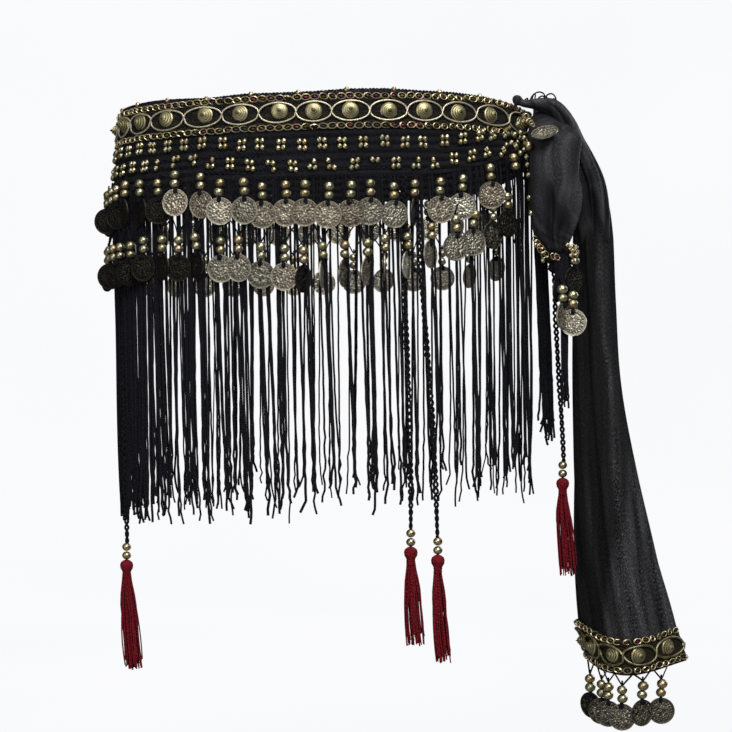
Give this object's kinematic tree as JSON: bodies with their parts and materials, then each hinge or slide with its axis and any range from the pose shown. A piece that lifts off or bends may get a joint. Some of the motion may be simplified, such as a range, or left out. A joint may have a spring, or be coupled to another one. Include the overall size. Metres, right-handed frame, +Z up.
{
  "type": "belly dance hip scarf",
  "caption": "Crocheted black belt with a studded brass braid, rows of beaded coins, long fringe, red tassels, and a scarf knotted at the hip with a long coin-hemmed tail",
  "frame": {"origin": "the middle of the hips inside the belt, at mid-height of the braid", "axes": "+Z up, the front faces -Y, and the knot is at +X"},
  "size_m": [0.4742, 0.2519, 0.5039],
  "materials": {
    "black_net": "matt black crocheted cotton",
    "black_fringe": "matt black cotton yarn",
    "braid": "pale gold wire and antique brass studs",
    "coin": "antique pewter, with brass beads",
    "tassel_red": "dark red rayon yarn with a soft sheen",
    "scarf_cloth": "charcoal black crinkled cloth, slightly open weave"
  },
  "bodies": {
    "root": {"belt_net": "black_net", "belt_braid": "braid", "coins_upper_front": "coin", "coins_upper_back": "coin", "coins_lower_front": "coin", "coins_lower_back": "coin", "fringe_front": "black_fringe", "fringe_back": "black_fringe", "fringe_knot": "black_fringe", "scarf_knot": "scarf_cloth", "scarf_short_end": "scarf_cloth", "scarf_tail": "scarf_cloth", "tail_hem_braid": "braid", "tail_coins": "coin", "short_end_braid": "braid", "short_end_coins": "coin", "tassel_cord_left": "black_fringe", "tassel_cord_middle": "black_fringe", "tassel_cord_right": "black_fringe", "tassel_cord_knot": "black_fringe", "tassel_left": "tassel_red", "tassel_middle": "tassel_red", "tassel_right": "tassel_red", "tassel_knot": "tassel_red"}
  },
  "joints": []
}
